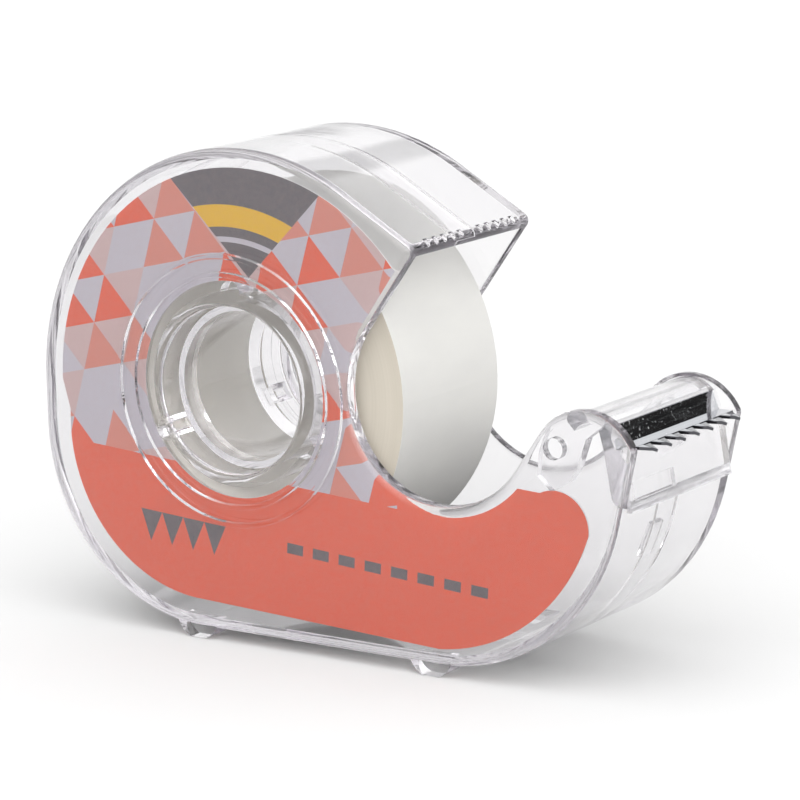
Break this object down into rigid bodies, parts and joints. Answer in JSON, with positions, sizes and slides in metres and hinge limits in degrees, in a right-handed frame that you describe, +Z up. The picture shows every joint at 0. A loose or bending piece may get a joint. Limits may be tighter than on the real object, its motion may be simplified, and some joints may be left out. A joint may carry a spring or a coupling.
{
  "type": "tape dispenser",
  "caption": "Clear snail-shaped hand or desk dispenser for adhesive tape: half shells around a roll that turns on a hub, with a toothed steel cutter on the nose.",
  "frame": {"origin": "on the ground plane under the middle of the bounding box, where the feet stand", "axes": "+X toward the cutter on the nose, +Y from the printed face to the plain rear face, +Z up"},
  "size_m": [0.0797, 0.025, 0.0565],
  "materials": {
    "shell_clear": "clear moulded polystyrene, polished, with faint moulding lines",
    "holder_clear": "clear moulded polystyrene, slightly hazy on the cutter's seat",
    "blade_steel": "mirror-polished stamped steel strip",
    "core_plastic": "cream moulded core",
    "tape_film": "matte off-white film, cream at the wound sides",
    "card_print": "printed card, coral below and a pale pattern of triangles above, no lettering"
  },
  "bodies": {
    "case": {"front_shell": "shell_clear", "rear_shell": "shell_clear", "blade_holder": "holder_clear", "blade": "blade_steel", "label_card": "card_print"},
    "roll": {"tape_core": "core_plastic", "tape_roll": "tape_film"}
  },
  "joints": [
    {"name": "roll_spin", "type": "hinge", "parent": "case", "child": "roll", "pos_m": [-0.01315, 0, 0.0292], "axis": [0, 1, 0], "continuous": true}
  ]
}
